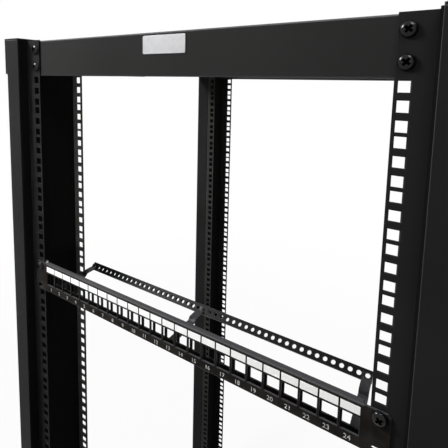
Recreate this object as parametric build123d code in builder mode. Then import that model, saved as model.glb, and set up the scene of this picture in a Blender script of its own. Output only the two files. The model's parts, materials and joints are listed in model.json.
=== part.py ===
import math
import os

from build123d import *

os.makedirs("parts", exist_ok=True)

# Spacing of 19-inch equipment, in millimetres
unit_height = 44.45
unit_count = 27
first_hole = 6.35
hole_step = 15.875
holes_per_unit = 3
hole_size = 9.5
hole_inset = 7.55
bay_width = 450.0

# Posts: box columns with a perforated flange at each end of their inner side
column_width = 31.0
column_depth = 100.0
column_wall = 2.0
column_corner = 2.0
flange_width = 27.0
flange_thick = 2.0
flange_setback = 15.0
inner_flange_shift = 7.0
post_overrun = 51.0
frame_depth = 648.0

# Crossbars: folded channels behind the outer flanges
crossbar_height = 50.0
crossbar_thick = 2.0
crossbar_lip = 15.0
crossbar_corner = 1.6
crossbar_clearance = 0.5

# Side rails: angles in two halves that hook over the columns, joined by a splice plate
rail_thick = 2.5
rail_cover = 31.5
front_rail_drop = 51.5
rear_rail_drop = 47.5
rail_joint_gap = 2.0
splice_length = 200.0
splice_height = 40.0
splice_thick = 2.5

# Levelling feet
foot_height = 30.0
pad_diameter = 36.0
pad_thick = 8.0
pad_chamfer = 2.5
pad_sides = 12
nut_diameter = 22.0
nut_thick = 8.0
nut_sides = 6
stud_diameter = 12.0
stud_sides = 6

# Patch panel
panel_units_down = 6
panel_hole = 1
panel_overlap = 16.3
panel_height = 44.0
panel_thick = 2.0
panel_corner = 2.6
panel_bend = 2.5
panel_return = 4.5
panel_side_clearance = 5.0
slot_length = 10.0
slot_width = 7.0
slot_corner = 1.2

# Ports of the panel
port_count = 24
port_margin = 6.6
port_bar = 2.0
port_height = 18.4
port_rise = -1.1
grid_bar = 3.1
grid_thick = 4.5
grid_setback = 2.5

# Cable lacing bar behind the panel
lacing_reach = 90.5
lacing_drop = 18.2
lacing_side_gap = 8.0
lacing_height = 12.0
lacing_thick = 1.6
lacing_tilt = 45.0
arm_width = 10.0
arm_thick = 1.6
arm_step_reach = 64.0
arm_tab = 5.0

# Levels above the floor
frame_bottom = foot_height
column_bottom = frame_bottom + rail_thick
bay_bottom = column_bottom + post_overrun
bay_top = bay_bottom + unit_count * unit_height
column_top = bay_top + post_overrun
column_length = column_top - column_bottom

# Places across and along the rack, from its centre line
hole_span = bay_width + 2 * hole_inset
column_inner = bay_width / 2 + flange_width
column_centre = column_inner + column_width / 2
column_outer = column_inner + column_width
frame_front = -frame_depth / 2
outer_flange_face = frame_front + flange_setback
inner_flange_face = frame_front + column_depth
slot_spacing = 2 * hole_step
panel_level = bay_top - panel_units_down * unit_height - first_hole - panel_hole * hole_step - slot_spacing / 2
panel_back = outer_flange_face
panel_front = panel_back - panel_thick
panel_width = bay_width + 2 * panel_overlap
panel_inner_width = bay_width - 2 * panel_side_clearance
panel_bottom = panel_level - panel_height / 2
port_pitch = (bay_width - 2 * port_margin) / port_count
grid_front = panel_back + grid_setback
lacing_length = bay_width - 2 * lacing_side_gap
lacing_y = panel_back + lacing_reach
lacing_level = panel_level - lacing_drop

sides = {"left": -1, "right": 1}
ends = {"front": -1, "rear": 1}
heights = {"bottom": -1, "top": 1}


def save(part, name):
    part.label = name
    export_step(part, f"parts/{name}.step")


def rail_hole_levels():
    levels = []
    for unit in range(unit_count):
        for hole in range(holes_per_unit):
            levels.append(bay_top - unit * unit_height - first_hole - hole * hole_step)
    return levels


def make_column(side, end):
    with BuildPart() as column:
        with BuildSketch(Plane.XY.offset(column_bottom)) as section:
            with Locations((side * column_centre, end * (frame_depth - column_depth) / 2)):
                Rectangle(column_width, column_depth)
                chamfer(section.vertices(), column_corner)
                Rectangle(
                    column_width - 2 * column_wall,
                    column_depth - 2 * column_wall,
                    mode=Mode.SUBTRACT,
                )
        extrude(amount=column_length)
    return column.part


def make_flange(side, low_y, shift):
    width = flange_width - shift
    flange_x = side * (column_inner - width / 2)
    hole_x = side * (hole_span / 2 + shift)
    with BuildPart() as flange:
        with BuildSketch(Plane.XZ.offset(-low_y)):
            with Locations((flange_x, (column_bottom + column_top) / 2)):
                Rectangle(width, column_length)
            with Locations(*[(hole_x, level) for level in rail_hole_levels()]):
                Rectangle(hole_size, hole_size, mode=Mode.SUBTRACT)
        extrude(amount=-flange_thick)
    return flange.part


def make_crossbar(end, height):
    face_y = end * (-outer_flange_face - flange_thick)
    web_y = face_y - end * crossbar_thick / 2
    lip_y = face_y - end * crossbar_lip / 2
    middle_z = bay_top + crossbar_height / 2 if height > 0 else bay_bottom - crossbar_height / 2
    lip_rise = (crossbar_height - crossbar_thick) / 2
    with BuildPart() as crossbar:
        with BuildSketch(Plane.YZ) as section:
            with Locations((web_y, middle_z)):
                Rectangle(crossbar_thick, crossbar_height)
            with Locations((lip_y, middle_z - lip_rise), (lip_y, middle_z + lip_rise)):
                Rectangle(crossbar_lip, crossbar_thick)
            bends = section.vertices().group_by(Axis.X)[-1 if end > 0 else 0]
            chamfer(bends, crossbar_corner)
        extrude(amount=column_inner - crossbar_clearance, both=True)
    return crossbar.part


def make_side_rail(side, end, height):
    drop = front_rail_drop if end < 0 else rear_rail_drop
    outer_x = side * (column_outer + rail_thick)
    seat_z = column_top if height > 0 else column_bottom
    skin_z = seat_z + height * rail_thick
    length = (frame_depth - rail_joint_gap) / 2
    with BuildPart() as rail:
        with BuildSketch(Plane.XZ.offset(frame_depth / 2 if end < 0 else -rail_joint_gap / 2)):
            with Locations((outer_x - side * rail_thick / 2, skin_z - height * drop / 2)):
                Rectangle(rail_thick, drop)
            with Locations((outer_x - side * rail_cover / 2, seat_z + height * rail_thick / 2)):
                Rectangle(rail_cover, rail_thick)
        extrude(amount=-length)
    return rail.part


def make_splice(side, height):
    seat_z = column_top if height > 0 else column_bottom
    with BuildPart() as splice:
        with Locations((side * (column_outer - splice_thick / 2), 0, seat_z - height * splice_height / 2)):
            Box(splice_thick, splice_length, splice_height)
    return splice.part


def make_foot(side, end):
    with BuildPart() as foot:
        with BuildSketch():
            RegularPolygon(pad_diameter / 2, pad_sides)
        extrude(amount=pad_thick)
        chamfer(foot.edges().group_by(Axis.Z)[-1], pad_chamfer)
        with BuildSketch(Plane.XY.offset(pad_thick)):
            RegularPolygon(stud_diameter / 2, stud_sides)
        extrude(amount=foot_height - nut_thick - pad_thick)
        with BuildSketch(Plane.XY.offset(foot_height - nut_thick)):
            RegularPolygon(nut_diameter / 2, nut_sides)
        extrude(amount=nut_thick)
    foot_y = end * (frame_depth - column_depth) / 2
    return foot.part.moved(Location((side * column_centre, foot_y, 0)))


def make_arm(middle_x):
    seat = panel_bottom
    face_y = lacing_y - (lacing_thick / 2 + arm_thick) / math.cos(math.radians(lacing_tilt))
    step = lacing_level - seat
    step_y = panel_back + arm_step_reach
    tab_y = arm_tab * math.sin(math.radians(lacing_tilt))
    tab_z = arm_tab * math.cos(math.radians(lacing_tilt))
    with BuildPart() as arm:
        with BuildSketch(Plane.YZ.offset(middle_x - arm_width / 2)):
            with BuildLine():
                Polyline(
                    (panel_back, seat),
                    (step_y, seat),
                    (step_y + step, lacing_level),
                    (face_y, lacing_level),
                    (face_y + tab_y, lacing_level + tab_z),
                )
                offset(amount=arm_thick, side=Side.RIGHT, kind=Kind.INTERSECTION)
            make_face()
        extrude(amount=arm_width)
    return arm.part


for side_name, side in sides.items():
    for end_name, end in ends.items():
        save(make_column(side, end), f"{end_name}_{side_name}_post")
        outer_low = outer_flange_face if end < 0 else -outer_flange_face - flange_thick
        inner_low = inner_flange_face - flange_thick if end < 0 else -inner_flange_face
        save(make_flange(side, outer_low, 0), f"{end_name}_{side_name}_flange")
        save(make_flange(side, inner_low, inner_flange_shift), f"{end_name}_{side_name}_inner_flange")
        save(make_foot(side, end), f"{end_name}_{side_name}_foot")
    for height_name, height in heights.items():
        for end_name, end in ends.items():
            save(make_side_rail(side, end, height), f"{end_name}_{side_name}_{height_name}_rail")
        save(make_splice(side, height), f"{side_name}_{height_name}_splice")

for end_name, end in ends.items():
    for height_name, height in heights.items():
        save(make_crossbar(end, height), f"{end_name}_{height_name}_crossbar")

# Patch panel: a folded channel with a row of ports, and a flat ear with two slots at each end
with BuildSketch() as ear_slot:
    Rectangle(slot_length, slot_width)
    chamfer(ear_slot.vertices(), slot_corner)

with BuildPart() as patch_panel:
    return_rise = (panel_height - panel_thick) / 2
    return_y = panel_front + (panel_thick + panel_return) / 2
    with BuildSketch(Plane.YZ) as section:
        with Locations((panel_front + panel_thick / 2, panel_level)):
            Rectangle(panel_thick, panel_height)
        with Locations((return_y, panel_level - return_rise), (return_y, panel_level + return_rise)):
            Rectangle(panel_thick + panel_return, panel_thick)
        fillet(section.vertices().group_by(Axis.X)[0], panel_bend)
    extrude(amount=panel_inner_width / 2, both=True)
    with BuildSketch(Plane.XZ.offset(-panel_front)) as ears:
        with Locations((0, panel_level)):
            Rectangle(panel_width, panel_height)
            chamfer(ears.vertices(), panel_corner)
            Rectangle(panel_inner_width, panel_height, mode=Mode.SUBTRACT)
            with GridLocations(hole_span, slot_spacing, 2, 2):
                add(ear_slot.sketch, mode=Mode.SUBTRACT)
    extrude(amount=-panel_thick)
    with BuildSketch(Plane.XZ.offset(-panel_front)):
        with Locations((0, panel_level + port_rise)):
            with GridLocations(port_pitch, 0, port_count, 1):
                Rectangle(port_pitch - port_bar, port_height)
    extrude(amount=-panel_thick, mode=Mode.SUBTRACT)
save(patch_panel.part, "patch_panel")

# Port frame: the grid between the returns that carries the back of each jack
with BuildPart() as port_frame:
    with BuildSketch(Plane.XZ.offset(-grid_front)):
        with Locations((0, panel_level)):
            Rectangle(panel_inner_width, panel_height - 2 * panel_thick)
        with Locations((0, panel_level + port_rise)):
            with GridLocations(port_pitch, 0, port_count, 1):
                Rectangle(port_pitch - grid_bar, port_height, mode=Mode.SUBTRACT)
    extrude(amount=-grid_thick)
save(port_frame.part, "port_frame")

# Lacing bar: a strip leaning back, on arms that rise from under the panel
with BuildPart() as lacing_bar:
    strip_plane = Plane(
        (0, lacing_y, lacing_level),
        x_dir=(1, 0, 0),
        z_dir=(0, -math.cos(math.radians(lacing_tilt)), math.sin(math.radians(lacing_tilt))),
    )
    with BuildSketch(strip_plane):
        Rectangle(lacing_length, lacing_height)
    extrude(amount=lacing_thick / 2, both=True)
save(lacing_bar.part, "lacing_bar")

end_arm_x = (lacing_length - arm_width) / 2
save(make_arm(-end_arm_x), "left_lacing_arm")
save(make_arm(end_arm_x), "right_lacing_arm")
save(make_arm(0), "middle_lacing_arm")
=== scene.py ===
import json
import math

import bpy
from mathutils import Matrix, Vector


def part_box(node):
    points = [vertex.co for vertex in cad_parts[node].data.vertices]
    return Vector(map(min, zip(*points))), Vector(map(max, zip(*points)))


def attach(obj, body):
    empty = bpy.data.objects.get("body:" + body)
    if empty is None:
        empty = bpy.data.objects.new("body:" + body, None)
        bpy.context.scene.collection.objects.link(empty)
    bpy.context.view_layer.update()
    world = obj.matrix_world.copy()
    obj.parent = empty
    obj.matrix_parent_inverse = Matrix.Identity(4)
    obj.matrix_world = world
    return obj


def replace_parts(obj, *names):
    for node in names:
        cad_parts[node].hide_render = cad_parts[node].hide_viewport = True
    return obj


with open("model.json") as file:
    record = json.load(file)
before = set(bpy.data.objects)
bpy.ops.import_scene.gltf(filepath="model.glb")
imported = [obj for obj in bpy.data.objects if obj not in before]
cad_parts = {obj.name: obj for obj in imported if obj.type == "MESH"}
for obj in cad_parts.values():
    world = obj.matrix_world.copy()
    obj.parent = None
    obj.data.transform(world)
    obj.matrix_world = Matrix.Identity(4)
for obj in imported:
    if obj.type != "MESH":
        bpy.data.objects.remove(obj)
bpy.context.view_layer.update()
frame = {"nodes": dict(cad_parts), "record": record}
nodes = frame["nodes"]
print("rack frame loaded")

nearlyStraight = 0.9  # cosine above which a face or an edge counts as lying along an axis


# Everyday helpers
def deselectAll():
    if bpy.context.object and bpy.context.object.mode != "OBJECT":
        bpy.ops.object.mode_set(mode="OBJECT")
    bpy.ops.object.select_all(action="DESELECT")


def pick(piece):
    deselectAll()
    piece.select_set(True)
    bpy.context.view_layer.objects.active = piece


def drop(piece):
    bpy.data.objects.remove(piece, do_unlink=True)


def settle(piece):
    pick(piece)
    bpy.ops.object.transform_apply(location=True, rotation=True, scale=True)


def applyModifiers(piece):
    pick(piece)
    for modifier in list(piece.modifiers):
        bpy.ops.object.modifier_apply(modifier=modifier.name)


def bevelEdges(piece, width, segments=2, angle=30):
    modifier = piece.modifiers.new("roundEdges", "BEVEL")
    modifier.width = width
    modifier.segments = segments
    modifier.limit_method = "ANGLE"
    modifier.angle_limit = math.radians(angle)
    applyModifiers(piece)


def smoothByAngle(piece, angle=35):
    pick(piece)
    bpy.ops.object.shade_smooth_by_angle(angle=math.radians(angle))


def addBlock(name, size, place):
    deselectAll()
    bpy.ops.mesh.primitive_cube_add(size=1, location=place)
    block = bpy.context.object
    block.name = name
    block.scale = size
    settle(block)
    return block


def addRound(name, radius, height, sides):
    # stands on zero, along +Z
    deselectAll()
    middle = (0, 0, height / 2)
    bpy.ops.mesh.primitive_cylinder_add(vertices=sides, radius=radius, depth=height, location=middle)
    stem = bpy.context.object
    stem.name = name
    settle(stem)
    return stem


def shiftUp(piece, rise):
    piece.data.transform(Matrix.Translation((0, 0, rise)))


def insetTop(piece, steps):
    # each step insets the top face and then moves it by a rise
    pick(piece)
    bpy.ops.object.mode_set(mode="EDIT")
    bpy.ops.mesh.select_mode(type="FACE")
    bpy.ops.mesh.select_all(action="DESELECT")
    bpy.ops.object.mode_set(mode="OBJECT")
    for face in piece.data.polygons:
        face.select = face.normal.z > nearlyStraight
    bpy.ops.object.mode_set(mode="EDIT")
    for inset, rise in steps:
        bpy.ops.mesh.inset(thickness=inset)
        bpy.ops.transform.translate(value=(0, 0, rise))
    bpy.ops.object.mode_set(mode="OBJECT")


def cutAway(piece, cutter):
    modifier = piece.modifiers.new("cut", "BOOLEAN")
    modifier.operation = "DIFFERENCE"
    modifier.solver = "EXACT"
    modifier.material_mode = "TRANSFER"
    modifier.object = cutter
    applyModifiers(piece)
    drop(cutter)


def joinAll(pieces, name):
    deselectAll()
    for piece in pieces:
        piece.select_set(True)
    bpy.context.view_layer.objects.active = pieces[0]
    if len(pieces) > 1:
        bpy.ops.object.join()
    joined = bpy.context.object
    joined.name = name
    joined.data.name = name
    return joined


def copyTo(master, places, name):
    copies = []
    for place in places:
        copied = master.copy()
        copied.data = master.data.copy()
        copied.data.transform(place)
        bpy.context.collection.objects.link(copied)
        copies.append(copied)
    return joinAll(copies, name)


def repeatAcross(piece, count, pitch):
    row = piece.modifiers.new("row", "ARRAY")
    row.count = count
    row.use_relative_offset = False
    row.use_constant_offset = True
    row.constant_offset_displace = (pitch, 0, 0)
    applyModifiers(piece)


def finishPiece(piece, material):
    # with no material given, the piece keeps those it was modelled with
    if material:
        piece.data.materials.clear()
        piece.data.materials.append(material)
    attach(piece, "root")
    return piece


def turned(degrees, axis):
    return Matrix.Rotation(math.radians(degrees), 4, axis)


def facing(end):
    # turns a part modelled along +Z so that it points out of the front or the rear
    return turned(90 if end == "front" else -90, "X")


# Materials
def grey(level):
    return (level, level, level)


def newMaterial(name):
    material = bpy.data.materials.new(name)
    material.use_nodes = True
    return material, material.node_tree, material.node_tree.nodes["Principled BSDF"]


def addNoise(tree, scale, detail, roughness=0.5):
    place = tree.nodes.new("ShaderNodeTexCoord")
    noise = tree.nodes.new("ShaderNodeTexNoise")
    noise.inputs["Scale"].default_value = scale
    noise.inputs["Detail"].default_value = detail
    noise.inputs["Roughness"].default_value = roughness
    tree.links.new(place.outputs["Object"], noise.inputs["Vector"])
    return noise


def addRamp(tree, source, low, high, stops=(0.35, 0.65)):
    ramp = tree.nodes.new("ShaderNodeValToRGB")
    for element, stop, colour in zip(ramp.color_ramp.elements, stops, (low, high)):
        element.position = stop
        element.color = (*colour, 1)
    tree.links.new(source, ramp.inputs["Fac"])
    return ramp.outputs["Color"]


def addMath(tree, operation, first, second):
    step = tree.nodes.new("ShaderNodeMath")
    step.operation = operation
    for socket, value in zip(step.inputs, (first, second)):
        if isinstance(value, float):
            socket.default_value = value
        else:
            tree.links.new(value, socket)
    return step.outputs["Value"]


def addBump(tree, height, strength, distance):
    bump = tree.nodes.new("ShaderNodeBump")
    bump.inputs["Strength"].default_value = strength
    bump.inputs["Distance"].default_value = distance
    tree.links.new(height, bump.inputs["Height"])
    return bump


def blendColour(tree, share, first, second):
    blend = tree.nodes.new("ShaderNodeMix")
    blend.data_type = "RGBA"
    # 0 is the Mix node's factor, 6 and 7 its colours A and B, and output 2 its colour
    tree.links.new(share, blend.inputs[0])
    tree.links.new(first, blend.inputs[6])
    blend.inputs[7].default_value = (*second, 1)
    return blend.outputs[2]


def splitAxes(tree, vector):
    split = tree.nodes.new("ShaderNodeSeparateXYZ")
    tree.links.new(vector, split.inputs["Vector"])
    return split.outputs


def powderCoat(name, look):
    material, tree, shader = newMaterial(name)
    cloud = addNoise(tree, look["cloudScale"], look["cloudDetail"])
    tint = addRamp(tree, cloud.outputs["Fac"], look["dark"], look["light"])
    surface = tree.nodes.new("ShaderNodeNewGeometry")
    normal = splitAxes(tree, surface.outputs["Normal"])
    # a folded corner leans between two directions, and there the coat takes its bend colour: a painted
    # highlight where that colour is lighter than the tint, painted shade where it is darker
    straight = addMath(tree, "ABSOLUTE", normal["X"], 0.0)
    for axis in ("Y", "Z"):
        along = addMath(tree, "ABSOLUTE", normal[axis], 0.0)
        straight = addMath(tree, "MAXIMUM", straight, along)
    bendPaintedLight = addRamp(tree, straight, grey(1), grey(0), look["bendPaintedLightStops"])
    tint = blendColour(tree, bendPaintedLight, tint, look["bendPaintedLight"])
    # a painted highlight lightens the coat along sharp edges
    edge = tree.nodes.new("ShaderNodeBevel")
    edge.samples = look["edgeSamples"]
    edge.inputs["Radius"].default_value = look["edgeRadius"]
    lean = tree.nodes.new("ShaderNodeVectorMath")
    lean.operation = "DOT_PRODUCT"
    tree.links.new(edge.outputs["Normal"], lean.inputs[0])
    tree.links.new(surface.outputs["Normal"], lean.inputs[1])
    paintedEdgeHighlight = addRamp(tree, lean.outputs["Value"], grey(1), grey(0), look["edgeHighlightStops"])
    tint = blendColour(tree, paintedEdgeHighlight, tint, look["edge"])
    # faces turned upward take the coat's top colour, painted light from above
    if "top" in look:
        paintedTopLight = addMath(tree, "GREATER_THAN", normal["Z"], nearlyStraight)
        tint = blendColour(tree, paintedTopLight, tint, look["top"])
    # faces turned into the bay get painted shade, a darker colour, and are made matt
    place = tree.nodes.new("ShaderNodeTexCoord")
    across = splitAxes(tree, place.outputs["Object"])
    side = addMath(tree, "SIGN", across["X"], 0.0)
    outward = addMath(tree, "MULTIPLY", side, normal["X"])
    inside = addMath(tree, "LESS_THAN", outward, look["insideLean"])
    tint = blendColour(tree, inside, tint, look["inside"])
    tree.links.new(tint, shader.inputs["Base Color"])
    shader.inputs["Specular IOR Level"].default_value = look["specular"]
    grain = addNoise(tree, look["grainScale"], look["grainDetail"])
    sheen = addRamp(tree, grain.outputs["Fac"], grey(look["smooth"]), grey(look["rough"]))
    tree.links.new(blendColour(tree, inside, sheen, grey(1)), shader.inputs["Roughness"])
    bump = addBump(tree, grain.outputs["Fac"], look["grainDepth"], look["grainBump"])
    tree.links.new(edge.outputs["Normal"], bump.inputs["Normal"])
    tree.links.new(bump.outputs["Normal"], shader.inputs["Normal"])
    return material


frameCoatLook = {
    "dark": (0.013, 0.013, 0.0134),
    "light": grey(0.0165),
    "specular": 0.018,
    "smooth": 0.26,
    "rough": 0.38,
    "cloudScale": 6.0,
    "cloudDetail": 4,
    "grainScale": 900.0,
    "grainDetail": 3,
    "grainDepth": 0.12,
    "grainBump": 0.0002,
    "edgeRadius": 0.0009,
    "edgeSamples": 6,
    # painted highlight along sharp edges
    "edgeHighlightStops": (0.90, 0.995),
    "edge": (0.060, 0.060, 0.062),
    # painted shade on folded corners, a little darker than the tint
    "bendPaintedLightStops": (0.84, 0.985),
    "bendPaintedLight": (0.011, 0.011, 0.0113),
    # painted shade on faces turned into the bay
    "insideLean": -0.5,
    "inside": grey(0.005),
}
# each coat is the frame's, apart from what it lists
# the posts carry a brighter painted highlight along their edges
frameCoat = powderCoat(
    "satinBlackFrame",
    frameCoatLook | {"edge": (0.11, 0.11, 0.114), "edgeRadius": 0.0012},
)
# the rails carry only a faint painted highlight along their edges
railCoat = powderCoat("satinBlackRail", frameCoatLook | {"edge": (0.022, 0.022, 0.0225)})
# the inner flanges are painted lighter than the frame, the front ones most: painted light where light falls
# on them
paintedLightInnerRailCoat = powderCoat(
    "innerRailPaintedLight",
    frameCoatLook | {"dark": (0.028, 0.027, 0.025), "light": (0.036, 0.035, 0.033), "rough": 0.5},
)
paintedLightFrontInnerCoat = powderCoat(
    "greyBlackFrontInnerRail",
    frameCoatLook | {"dark": (0.060, 0.058, 0.054), "light": (0.075, 0.072, 0.068), "rough": 0.5},
)
crossbarCoat = powderCoat(
    "satinBlackCrossbar",
    frameCoatLook
    | {
        "dark": (0.017, 0.017, 0.0167),
        "light": (0.0207, 0.0207, 0.0203),
        "specular": 0.03,
        # painted highlight along the crossbar's folds
        "bendPaintedLight": (0.08, 0.08, 0.083),
    },
)
panelCoat = powderCoat(
    "warmBlackPanel",
    frameCoatLook
    | {
        "dark": (0.010, 0.009, 0.0083),
        "light": (0.0215, 0.0187, 0.0165),
        "cloudScale": 70.0,
        # painted highlight along the panel's folds, and painted light from above on its upward faces
        "bendPaintedLight": (0.07, 0.07, 0.073),
        "top": (0.050, 0.050, 0.053),
    },
)
gridCoat = powderCoat("mattBlackGrid", frameCoatLook | {"dark": grey(0.0036), "light": grey(0.0057)})
lacingCoat = powderCoat(
    "satinBlackLacing",
    frameCoatLook | {"dark": (0.022, 0.022, 0.0225), "light": (0.028, 0.028, 0.029), "specular": 0.022},
)
# the arms are painted a lighter grey than the frame: painted light where light falls on them
armPaintedLightCoat = powderCoat(
    "satinArmPaintedLight",
    frameCoatLook | {"dark": (0.030, 0.030, 0.032), "light": (0.042, 0.042, 0.046), "specular": 0.09},
)


def plainFinish(name, look):
    material, tree, shader = newMaterial(name)
    cloud = addNoise(tree, look["cloudScale"], look["cloudDetail"])
    tint = addRamp(tree, cloud.outputs["Fac"], look["dark"], look["light"])
    tree.links.new(tint, shader.inputs["Base Color"])
    shader.inputs["Metallic"].default_value = look["metallic"]
    shader.inputs["Specular IOR Level"].default_value = look["specular"]
    shader.inputs["Roughness"].default_value = look["roughness"]
    bump = addBump(tree, cloud.outputs["Fac"], look["bump"], look["bumpDistance"])
    tree.links.new(bump.outputs["Normal"], shader.inputs["Normal"])
    return material


plainLook = {
    "metallic": 0.0,
    "roughness": 0.6,
    "specular": 0.5,
    "bump": 0.1,
    "bumpDistance": 0.0001,
    "cloudScale": 500.0,
    "cloudDetail": 5,
}
screwBlack = plainFinish(
    "blackZincScrew",
    plainLook
    | {"dark": grey(0.003), "light": grey(0.006), "roughness": 0.18, "specular": 0.20, "cloudScale": 300.0},
)
# the cross recess takes a darker black that reflects nothing: painted shade in the recess
recessPaintedShade = plainFinish(
    "mattBlackRecessPaintedShade",
    plainLook
    | {"dark": grey(0.001), "light": grey(0.002), "roughness": 0.9, "specular": 0.0, "cloudScale": 300.0},
)
zincSteel = plainFinish(
    "zincSteel",
    plainLook
    | {
        "dark": (0.38, 0.38, 0.39),
        "light": (0.52, 0.52, 0.53),
        "metallic": 1.0,
        "roughness": 0.32,
        "bump": 0.15,
        "cloudScale": 400.0,
    },
)
plateSilver = plainFinish(
    "silverPlate",
    plainLook
    | {
        "dark": (0.385, 0.385, 0.395),
        "light": (0.425, 0.425, 0.43),
        "metallic": 0.15,
        "roughness": 0.35,
        "bump": 0.05,
        "cloudScale": 200.0,
    },
)
labelWhite = plainFinish(
    "whiteLabel",
    plainLook | {"dark": (0.93, 0.93, 0.92), "light": (0.97, 0.97, 0.96)},
)
numberInk = plainFinish(
    "whiteInk",
    plainLook | {"dark": (0.43, 0.42, 0.41), "light": (0.53, 0.52, 0.51), "cloudScale": 600.0},
)
footRubber = plainFinish(
    "blackRubber",
    plainLook | {"dark": grey(0.010), "light": grey(0.022), "roughness": 0.75, "bump": 0.4},
)


def dressNodes():
    coats = {
        "post_paint": frameCoat,
        "rail_paint": railCoat,
        "crossbar_paint": crossbarCoat,
        "panel_paint": panelCoat,
        "port_plastic": gridCoat,
        "lacing_steel": lacingCoat,
        "foot_steel": zincSteel,
    }
    for row in frame["record"]["subparts"]:
        name = row["node"]
        coat = coats[row["material_slot"]]
        # the inner flanges and the arms take the coats with painted light
        if name.endswith("inner_flange"):
            coat = paintedLightFrontInnerCoat if name.startswith("front") else paintedLightInnerRailCoat
        if name.endswith("arm"):
            coat = armPaintedLightCoat
        nodes[name].data.materials.clear()
        nodes[name].data.materials.append(coat)


dressNodes()
print("coats on the frame")

# Places read from the frame
flangeLow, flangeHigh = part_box("front_right_flange")
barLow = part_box("front_top_crossbar")[0]
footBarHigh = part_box("front_bottom_crossbar")[1]
panelLow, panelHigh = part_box("patch_panel")
holeInset = 0.00755
holeColumn = flangeLow.x + holeInset
frontFace = flangeLow.y
rearFace = -flangeLow.y
panelLevel = (panelLow.z + panelHigh.z) / 2

# Pan head screw with a cross recess, modelled along +Z with its seat at zero
screwHead = {
    "radius": 0.0067,
    "height": 0.0042,
    "rimHeight": 0.0010,
    "sides": 40,
    # inset and rise of each ring, as shares of the radius and of the height over the rim
    "dome": ((0.10, 0.45), (0.18, 0.33), (0.26, 0.16), (0.22, 0.06)),
    "recessSpan": 0.0066,
    "recessWidth": 0.0022,
    "recessDepth": 0.6,  # share of the head's height
    "recessOver": 0.0005,
}


def makeScrewHead(spec):
    head = addRound("screwHead", spec["radius"], spec["rimHeight"], spec["sides"])
    domeRise = spec["height"] - spec["rimHeight"]
    insetTop(head, [(spec["radius"] * inset, domeRise * rise) for inset, rise in spec["dome"]])
    head.data.materials.append(screwBlack)
    span, width = spec["recessSpan"], spec["recessWidth"]
    depth = spec["height"] * spec["recessDepth"]
    middle = spec["height"] - depth / 2 + spec["recessOver"]
    for size in ((span, width, depth), (width, span, depth)):
        recess = addBlock("recess", size, (0, 0, middle))
        # painted shade on the recess walls
        recess.data.materials.append(recessPaintedShade)
        cutAway(head, recess)
    smoothByAngle(head, 40)
    return head


# Two screws at each end of every crossbar
crossbarScrew = {"rises": (0.0125, 0.0375), "turns": {"left": 20, "right": 52}}


def crossbarScrews(master, spec):
    barLevels = {
        "top": [barLow.z + rise for rise in spec["rises"]],
        "bottom": [footBarHigh.z - rise for rise in spec["rises"]],
    }
    for end, faceY in (("front", frontFace), ("rear", rearFace)):
        for height, levels in barLevels.items():
            places = []
            for side, sign in (("left", -1), ("right", 1)):
                for level in levels:
                    place = Matrix.Translation((sign * holeColumn, faceY, level))
                    places.append(place @ facing(end) @ turned(spec["turns"][side], "Z"))
            finishPiece(copyTo(master, places, f"{end}_{height}_crossbar_screws"), None)


screwMaster = makeScrewHead(screwHead)
crossbarScrews(screwMaster, crossbarScrew)

# The two screws that hold the panel, in its upper slots
panelScrew = {"rise": 0.015875, "turn": 35}
panelPlaces = []
for sign in (-1, 1):
    spot = Matrix.Translation((sign * holeColumn, panelLow.y, panelLevel + panelScrew["rise"]))
    panelPlaces.append(spot @ facing("front") @ turned(panelScrew["turn"], "Z"))
finishPiece(copyTo(screwMaster, panelPlaces, "panel_screws"), None)
drop(screwMaster)
print("screws in")

# Cage nuts behind those screws: a square nut in a folded spring cage
cageNut = {
    "side": 0.0112,
    "depth": 0.0062,
    "round": 0.0008,
    "bore": 0.0026,
    "cageSide": 0.0132,
    "cageDepth": 0.0028,
    "cageRound": 0.0006,
    "cageBore": 0.0031,
    "boreSides": 24,
}


def makeCageNut(spec):
    nut = addBlock("nut", (spec["side"], spec["side"], spec["depth"]), (0, 0, spec["depth"] / 2))
    bevelEdges(nut, spec["round"])
    cageSize = (spec["cageSide"], spec["side"], spec["cageDepth"])
    cage = addBlock("cage", cageSize, (0, 0, spec["cageDepth"] / 2))
    bevelEdges(cage, spec["cageRound"])
    for shell, radius in ((nut, spec["bore"]), (cage, spec["cageBore"])):
        bore = addRound("bore", radius, 3 * spec["depth"], spec["boreSides"])
        shiftUp(bore, -spec["depth"])
        cutAway(shell, bore)
    nutAndCage = joinAll([nut, cage], "cageNut")
    smoothByAngle(nutAndCage)
    return nutAndCage


nutMaster = makeCageNut(cageNut)
nutPlaces = []
for sign in (-1, 1):
    spot = Matrix.Translation((sign * holeColumn, flangeHigh.y, panelLevel + panelScrew["rise"]))
    nutPlaces.append(spot @ facing("rear"))
finishPiece(copyTo(nutMaster, nutPlaces, "cage_nuts"), zincSteel)
drop(nutMaster)

# Bare plate on the front crossbar
barePlate = {
    "width": 0.0588,
    "height": 0.0206,
    "thick": 0.0010,
    "x": -0.0034,
    "rise": 0.0359,
    "corner": 0.0016,
    "cornerSteps": 5,
    "round": 0.0002,
}


def makeBarePlate(spec):
    place = (spec["x"], barLow.y - spec["thick"] / 2, barLow.z + spec["rise"])
    plate = addBlock("bare_plate", (spec["width"], spec["thick"], spec["height"]), place)
    pick(plate)
    bpy.ops.object.mode_set(mode="EDIT")
    bpy.ops.mesh.select_mode(type="EDGE")
    bpy.ops.mesh.select_all(action="DESELECT")
    bpy.ops.object.mode_set(mode="OBJECT")
    points = plate.data.vertices
    for edge in plate.data.edges:
        run = points[edge.vertices[0]].co - points[edge.vertices[1]].co
        edge.select = abs(run.y) > nearlyStraight * run.length  # the four corners, through the plate
    bpy.ops.object.mode_set(mode="EDIT")
    bpy.ops.mesh.bevel(offset=spec["corner"], segments=spec["cornerSteps"])
    bpy.ops.object.mode_set(mode="OBJECT")
    bevelEdges(plate, spec["round"])
    return plate


finishPiece(makeBarePlate(barePlate), plateSilver)
print("bare plate on")

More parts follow.
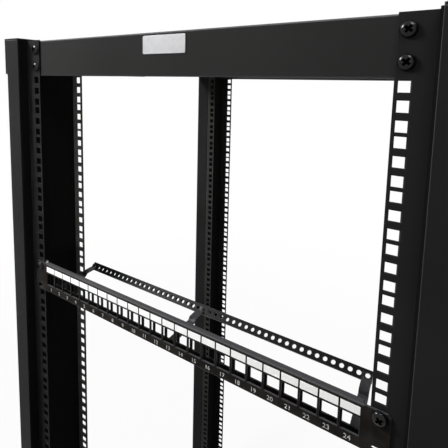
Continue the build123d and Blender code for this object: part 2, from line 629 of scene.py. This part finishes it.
# Blank label fields over the ports
ports = {
    "count": 24,
    "margin": 0.0066,
    "labelGap": 0.0016,
    "labelHeight": 0.0080,
    "labelRise": 0.0142,
    "labelThick": 0.0003,
    "labelRound": 0.00012,
}
portPitch = (2 * flangeLow.x - 2 * ports["margin"]) / ports["count"]
firstPort = -portPitch * (ports["count"] - 1) / 2


def makeLabels(spec):
    thick = spec["labelThick"]
    size = (portPitch - spec["labelGap"], thick, spec["labelHeight"])
    place = (firstPort, panelLow.y - thick / 2, panelLevel + spec["labelRise"])
    field = addBlock("label_fields", size, place)
    bevelEdges(field, spec["labelRound"], 1)
    repeatAcross(field, spec["count"], portPitch)
    return field


finishPiece(makeLabels(ports), labelWhite)

# Port frame: a thin plate with a window behind each opening, its long edges folded forward
portGrid = {
    "thick": 0.0014,
    "depth": 0.0083,
    "bar": 0.0034,
    "windowHeight": 0.0184,
    "windowRise": -0.0011,
    "lip": 0.0012,
}


def makePortGrid(spec):
    low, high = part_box("port_frame")
    width = high.x - low.x
    plateY = panelLow.y + spec["depth"]
    plateSize = (width, spec["thick"], high.z - low.z)
    plate = addBlock("grid_plate", plateSize, (0, plateY, (low.z + high.z) / 2))
    windowSize = (portPitch - spec["bar"], 3 * spec["thick"], spec["windowHeight"])
    window = addBlock("window", windowSize, (firstPort, plateY, panelLevel + spec["windowRise"]))
    repeatAcross(window, ports["count"], portPitch)
    cutAway(plate, window)
    fold = plateY - spec["thick"] / 2 - low.y
    lips = []
    for level in (low.z + spec["lip"] / 2, high.z - spec["lip"] / 2):
        lips.append(addBlock("lip", (width, fold, spec["lip"]), (0, low.y + fold / 2, level)))
    return joinAll([plate] + lips, "port_grid")


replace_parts(finishPiece(makePortGrid(portGrid), gridCoat), "port_frame")

# Port numbers under the openings
numbers = {"size": 0.0066, "drop": 0.0160, "thick": 0.00008, "pitch": 0.0181, "curveSteps": 3}


def makeNumbers(spec):
    digits = []
    first = -spec["pitch"] * (ports["count"] - 1) / 2
    for port in range(ports["count"]):
        deselectAll()
        bpy.ops.object.text_add(location=(0, 0, 0))
        label = bpy.context.object
        label.data.body = str(port + 1)
        label.data.size = spec["size"]
        label.data.extrude = spec["thick"]
        label.data.resolution_u = spec["curveSteps"]
        label.data.align_x = "CENTER"
        label.data.align_y = "CENTER"
        bpy.ops.object.convert(target="MESH")
        label = bpy.context.object
        place = (first + port * spec["pitch"], panelLow.y - spec["thick"], panelLevel - spec["drop"])
        label.data.transform(Matrix.Translation(place) @ facing("front"))
        digits.append(label)
    return joinAll(digits, "port_numbers")


finishPiece(makeNumbers(numbers), numberInk)
print("labels and numbers on")

# Lacing bar with its row of round holes, leaning back, and its arms drilled through with it
lacing = {
    "height": 0.012,
    "thick": 0.0016,
    "depth": 0.0040,
    "tilt": 45,
    "hole": 0.0053,
    "holes": 48,
    "margin": 0.0046,
    "drillLength": 0.0075,
    "drillSides": 20,
    "armSetback": 0.0045,
    "mergeGap": 0.00001,
}
lacingLow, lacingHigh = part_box("lacing_bar")
lacingLength = lacingHigh.x - lacingLow.x
lacingPlace = Matrix.Translation((lacingLow + lacingHigh) / 2) @ turned(-lacing["tilt"], "X")


def makeDrillRow(spec):
    drill = addRound("drill", spec["hole"] / 2, spec["drillLength"], spec["drillSides"])
    shiftUp(drill, -spec["drillLength"] / 2)
    drill.data.transform(facing("front"))
    drill.data.transform(Matrix.Translation((spec["margin"] - lacingLength / 2, 0, 0)))
    repeatAcross(drill, spec["holes"], (lacingLength - 2 * spec["margin"]) / (spec["holes"] - 1))
    drill.data.transform(lacingPlace)
    return drill


def makeLacingBar(spec):
    # its front face stays on the arms, and the bar is deeper behind it
    behind = (spec["depth"] - spec["thick"]) / 2
    strip = addBlock("lacing_strip", (lacingLength, spec["depth"], spec["height"]), (0, behind, 0))
    strip.data.transform(lacingPlace)
    cutAway(strip, makeDrillRow(spec))
    smoothByAngle(strip, 30)
    return strip


def makeDrilledArm(spec, node):
    arm = bpy.data.objects.new(f"{node}_drilled", nodes[node].data.copy())
    bpy.context.collection.objects.link(arm)
    pick(arm)
    bpy.ops.object.mode_set(mode="EDIT")
    bpy.ops.mesh.select_all(action="SELECT")
    bpy.ops.mesh.remove_doubles(threshold=spec["mergeGap"])
    # the arm's front end stops short of the panel's face, under the fold
    armEnd = (0, panelLow.y + spec["armSetback"], 0)
    bpy.ops.mesh.bisect(plane_co=armEnd, plane_no=(0, 1, 0), use_fill=True, clear_inner=True)
    bpy.ops.object.mode_set(mode="OBJECT")
    cutAway(arm, makeDrillRow(spec))
    smoothByAngle(arm, 30)
    return arm


lacingStrip = finishPiece(makeLacingBar(lacing), lacingCoat)
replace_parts(lacingStrip, "lacing_bar")
for armNode in ("left_lacing_arm", "middle_lacing_arm", "right_lacing_arm"):
    drilledArm = finishPiece(makeDrilledArm(lacing, armNode), armPaintedLightCoat)
    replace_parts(drilledArm, armNode)
print("lacing bar drilled")

# Levelling feet: rubber pad, zinc stud with a thread, and a hexagon nut under the post
foot = {
    "padRadius": 0.018,
    "padHeight": 0.008,
    "padSides": 48,
    "padDish": 0.45,  # share of the radius that stays as the rim
    "padDip": 0.0012,
    "padRound": 0.0012,
    "studRadius": 0.006,
    "studSides": 32,
    "threadPitch": 0.00175,
    "threadDepth": 0.0006,
    "threadSides": 6,
    "nutRadius": 0.011,
    "nutHeight": 0.008,
    "nutRound": 0.0007,
}


def makePad(spec):
    pad = addRound("pad", spec["padRadius"], spec["padHeight"], spec["padSides"])
    insetTop(pad, [(spec["padRadius"] * spec["padDish"], -spec["padDip"])])
    bevelEdges(pad, spec["padRound"], 3)
    smoothByAngle(pad, 40)
    return pad


def makeStud(spec, height):
    core = spec["studRadius"] - spec["threadDepth"]
    stud = addRound("stud", core, height, spec["studSides"])
    rings = []
    turns = int((height - spec["padHeight"] - spec["nutHeight"]) / spec["threadPitch"])
    for turn in range(turns):
        deselectAll()
        bpy.ops.mesh.primitive_torus_add(
            major_radius=core,
            minor_radius=spec["threadDepth"],
            major_segments=spec["studSides"],
            minor_segments=spec["threadSides"],
            location=(0, 0, spec["padHeight"] + (turn + 0.5) * spec["threadPitch"]),
        )
        ring = bpy.context.object
        settle(ring)
        rings.append(ring)
    nut = addRound("nut", spec["nutRadius"], spec["nutHeight"], 6)
    shiftUp(nut, height - spec["nutHeight"])
    bevelEdges(nut, spec["nutRound"])
    threaded = joinAll([stud, nut] + rings, "stud")
    smoothByAngle(threaded)
    return threaded


def layFeet(spec):
    low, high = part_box("front_left_foot")
    padMaster = makePad(spec)
    studMaster = makeStud(spec, high.z - low.z)
    for end in ("front", "rear"):
        for side in ("left", "right"):
            node = f"{end}_{side}_foot"
            low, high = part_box(node)
            spot = Matrix.Translation(((low.x + high.x) / 2, (low.y + high.y) / 2, low.z))
            pad = finishPiece(copyTo(padMaster, [spot], f"{node}_pad"), footRubber)
            stud = finishPiece(copyTo(studMaster, [spot], f"{node}_stud"), zincSteel)
            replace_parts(pad, node)
            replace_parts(stud, node)
    drop(padMaster)
    drop(studMaster)


layFeet(foot)
print("feet under the posts")

# Nuts inside the splice plates of the side rails
spliceNut = {
    "radius": 0.0065,
    "height": 0.0050,
    "round": 0.0006,
    "collarRadius": 0.0078,
    "collarHeight": 0.0012,
    "collarSides": 36,
    "collarRise": 0.4,  # share of the collar's height
    "boltRadius": 0.0030,
    "boltHeight": 0.0075,
    "boltSides": 24,
    "boltRound": 0.0005,
    "spread": (-0.075, -0.035, 0.035, 0.075),
}


def makeSpliceNut(spec):
    collar = addRound("collar", spec["collarRadius"], spec["collarHeight"], spec["collarSides"])
    insetTop(collar, [(spec["collarRadius"] - spec["radius"], spec["collarHeight"] * spec["collarRise"])])
    nut = addRound("nut", spec["radius"], spec["height"], 6)
    bevelEdges(nut, spec["round"])
    bolt = addRound("boltEnd", spec["boltRadius"], spec["boltHeight"], spec["boltSides"])
    bevelEdges(bolt, spec["boltRound"])
    joined = joinAll([collar, nut, bolt], "spliceNut")
    smoothByAngle(joined)
    return joined


def fitSpliceNuts(spec):
    master = makeSpliceNut(spec)
    for side, sign in (("left", -1), ("right", 1)):
        for height in ("top", "bottom"):
            low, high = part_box(f"{side}_{height}_splice")
            faceX = high.x if sign < 0 else low.x
            inward = turned(-90 * sign, "Y")
            level = (low.z + high.z) / 2
            places = [Matrix.Translation((faceX, along, level)) @ inward for along in spec["spread"]]
            finishPiece(copyTo(master, places, f"{side}_{height}_splice_nuts"), zincSteel)
    drop(master)


fitSpliceNuts(spliceNut)
print("splices bolted")

# Floor, light and camera
stageLook = {
    "floorSize": 40.0,
    "floorColour": grey(0.86),
    "floorRough": 0.9,
    "floorSpecular": 0.1,
    "nearGlow": 0.90,
    "glowReach": 2.5,
    "worldStrength": 0.20,
}


def seenDirectly(tree):
    # one where the ray comes from the camera, a mirror-like bounce or through glass
    light = tree.nodes.new("ShaderNodeLightPath")
    seen = addMath(tree, "MAXIMUM", light.outputs["Is Camera Ray"], light.outputs["Is Glossy Ray"])
    return addMath(tree, "MAXIMUM", seen, light.outputs["Is Transmission Ray"])


def mixShaders(tree, share, first, second, output):
    mix = tree.nodes.new("ShaderNodeMixShader")
    tree.links.new(share, mix.inputs["Fac"])
    tree.links.new(first, mix.inputs[1])
    tree.links.new(second, mix.inputs[2])
    tree.links.new(mix.outputs["Shader"], tree.nodes[output].inputs["Surface"])


def makeFloor(spec):
    deselectAll()
    bpy.ops.mesh.primitive_plane_add(size=spec["floorSize"], location=(0, 0, 0))
    floor = bpy.context.object
    floor.name = "floor"
    material, tree, shader = newMaterial("paleFloor")
    shader.inputs["Base Color"].default_value = (*spec["floorColour"], 1)
    shader.inputs["Roughness"].default_value = spec["floorRough"]
    shader.inputs["Specular IOR Level"].default_value = spec["floorSpecular"]
    glow = tree.nodes.new("ShaderNodeEmission")
    glow.inputs["Color"].default_value = (*grey(1), 1)
    # white far off, while the shadow near the feet shows through a little
    place = tree.nodes.new("ShaderNodeTexCoord")
    reach = tree.nodes.new("ShaderNodeVectorMath")
    reach.operation = "LENGTH"
    tree.links.new(place.outputs["Object"], reach.inputs[0])
    far = tree.nodes.new("ShaderNodeMapRange")
    far.inputs["From Max"].default_value = spec["glowReach"]
    far.inputs["To Min"].default_value = spec["nearGlow"]
    tree.links.new(reach.outputs["Value"], far.inputs["Value"])
    share = addMath(tree, "MULTIPLY", seenDirectly(tree), far.outputs["Result"])
    mixShaders(tree, share, shader.outputs["BSDF"], glow.outputs["Emission"], "Material Output")
    floor.data.materials.append(material)


def makeWorld(spec):
    world = bpy.data.worlds.new("paleStudio")
    bpy.context.scene.world = world
    world.use_nodes = True
    tree = world.node_tree
    soft = tree.nodes["Background"]
    white = tree.nodes.new("ShaderNodeBackground")
    for sky, strength in ((soft, spec["worldStrength"]), (white, 1.0)):
        sky.inputs["Color"].default_value = (*grey(1), 1)
        sky.inputs["Strength"].default_value = strength
    skies = (soft.outputs["Background"], white.outputs["Background"])
    mixShaders(tree, seenDirectly(tree), *skies, "World Output")


softboxes = {
    "leftSoftbox": {"place": (-0.72, -0.85, 1.9), "aim": (-0.3, -0.3, 1.4), "size": 0.35, "power": 23},
    "rightSoftbox": {"place": (0.42, -0.62, 1.8), "aim": (0.15, -0.3, 1.25), "size": 0.2, "power": 1.8},
    "fillSoftbox": {
        "place": (1.2, -3.2, 1.5),
        "aim": (-0.32, -0.25, 1.1),
        "size": 0.4,
        "power": 0.35,
        "spread": 14,
    },
    "rearSoftbox": {"place": (0.8, 2.2, 1.9), "aim": (0, 0, 0.8), "size": 1.2, "power": 20},
}


def hangSoftboxes(boxes):
    for name, box in boxes.items():
        lamp = bpy.data.lights.new(name, "AREA")
        lamp.shape = "SQUARE"
        lamp.size = box["size"]
        lamp.energy = box["power"]
        lamp.spread = math.radians(box.get("spread", 180))
        holder = bpy.data.objects.new(name, lamp)
        holder.location = box["place"]
        aim = Vector(box["aim"]) - Vector(box["place"])
        holder.rotation_euler = aim.to_track_quat("-Z", "Y").to_euler()
        bpy.context.collection.objects.link(holder)


# Camera found from the rail holes: stands to the right, level with the top of the bay, and looks left
cameraView = {
    "right": 0.254855,
    "front": -0.343625,
    "below": -0.003205,
    "yaw": 33.905,
    "pitch": 6.180,
    "roll": 0.712,
    "focal": 380.113,
    "centreU": 181.987,
    "centreV": 120.854,
    "image": 448.0,
    "sensor": 36.0,
    "clipStart": 0.01,
}


def placeCamera(spec):
    data = bpy.data.cameras.new("photoCamera")
    camera = bpy.data.objects.new("photoCamera", data)
    bpy.context.collection.objects.link(camera)
    yaw, pitch, roll = (math.radians(spec[key]) for key in ("yaw", "pitch", "roll"))
    level = math.cos(pitch)
    ahead = Vector((-math.sin(yaw) * level, math.cos(yaw) * level, -math.sin(pitch)))
    right = Vector((math.cos(yaw), math.sin(yaw), 0))
    up = right.cross(ahead)
    rolledRight = right * math.cos(roll) + up * math.sin(roll)
    rolledUp = up * math.cos(roll) - right * math.sin(roll)
    turn = Matrix((rolledRight, rolledUp, -ahead)).transposed().to_4x4()
    place = (spec["right"], frontFace + spec["front"], barLow.z + spec["below"])
    camera.matrix_world = Matrix.Translation(place) @ turn
    image = spec["image"]
    data.sensor_width = spec["sensor"]
    data.lens = spec["focal"] / image * spec["sensor"]
    data.shift_x = (image / 2 - spec["centreU"]) / image
    data.shift_y = (spec["centreV"] - image / 2) / image
    data.clip_start = spec["clipStart"]
    bpy.context.scene.camera = camera


makeFloor(stageLook)
makeWorld(stageLook)
hangSoftboxes(softboxes)
placeCamera(cameraView)
bpy.context.scene.view_settings.view_transform = "Standard"
print("stage lit, camera set")
